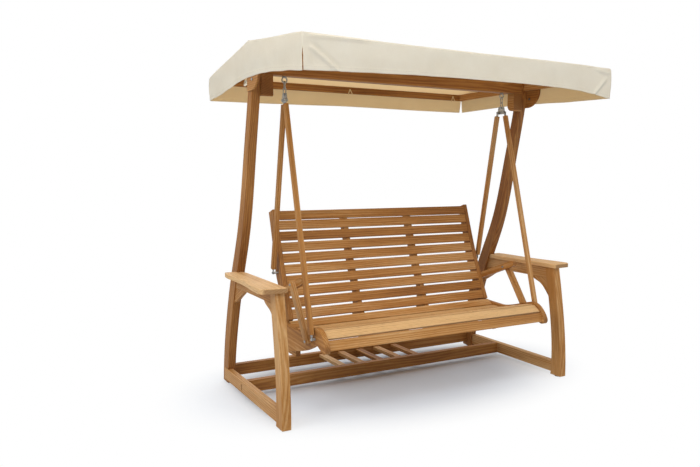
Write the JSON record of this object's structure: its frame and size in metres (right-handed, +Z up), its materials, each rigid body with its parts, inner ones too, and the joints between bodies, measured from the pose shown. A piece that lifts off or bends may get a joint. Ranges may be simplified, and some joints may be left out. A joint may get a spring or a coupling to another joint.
{
  "type": "porch swing",
  "caption": "Wooden garden swing seat: a slatted bench hangs on short chains and rods from a standing frame with armrests, under a gabled canvas canopy.",
  "frame": {"origin": "on the floor under the middle of the main beam, the middle of the bounding box's base", "axes": "+X along the bench to the right as seen from the front, +Y from the bench's front to its back, +Z up"},
  "size_m": [2.1744, 1.422, 2.0396],
  "materials": {
    "teak": "oiled, satin",
    "canvas": "woven cream canvas",
    "cotton_tape": "woven tape",
    "galvanised_steel": "galvanised, dull",
    "glide_plastic": "matte"
  },
  "bodies": {
    "frame": {"base_slats": "teak", "canopy_front_rail": "teak", "canopy_left_rail": "teak", "canopy_rear_rail": "teak", "canopy_right_rail": "teak", "canopy_ties": "cotton_tape", "eye_bolts": "galvanised_steel", "frame_bolts": "galvanised_steel", "glide_feet": "glide_plastic", "left_arm_rail": "teak", "left_armrest": "teak", "left_canopy_arm": "teak", "left_corner_block": "teak", "left_front_bracket": "teak", "left_front_leg": "teak", "left_rear_bracket": "teak", "left_rear_post": "teak", "left_side_rail": "teak", "main_beam": "teak", "mid_cross_rail": "teak", "rear_cross_rail": "teak", "ridge_rail": "teak", "right_arm_rail": "teak", "right_armrest": "teak", "right_canopy_arm": "teak", "right_corner_block": "teak", "right_front_bracket": "teak", "right_front_leg": "teak", "right_rear_bracket": "teak", "right_rear_post": "teak", "right_side_rail": "teak", "roof_front": "canvas", "roof_rear": "canvas", "valance_front": "canvas", "valance_left": "canvas", "valance_rear": "canvas", "valance_right": "canvas"},
    "chains": {"left_chain": "galvanised_steel", "right_chain": "galvanised_steel"},
    "bench": {"rod_straps": "galvanised_steel", "back_slats": "teak", "seat_slats": "teak", "seat_blocks": "teak", "bench_bolts": "galvanised_steel", "left_hanger_plate": "galvanised_steel", "left_front_rod": "teak", "left_rear_rod": "teak", "left_seat_rail": "teak", "left_back_stile": "teak", "left_bench_arm": "teak", "left_strut": "teak", "left_batten": "teak", "right_hanger_plate": "galvanised_steel", "right_front_rod": "teak", "right_rear_rod": "teak", "right_seat_rail": "teak", "right_back_stile": "teak", "right_bench_arm": "teak", "right_strut": "teak", "right_batten": "teak"}
  },
  "joints": [
    {"name": "chain_swing", "type": "hinge", "parent": "frame", "child": "chains", "pos_m": [0, 0, 1.827], "axis": [1, 0, 0], "range_deg": [-15, 15]},
    {"name": "bench_tilt", "type": "hinge", "parent": "chains", "child": "bench", "pos_m": [0, 0, 1.759], "axis": [1, 0, 0], "range_deg": [-10, 10]}
  ]
}
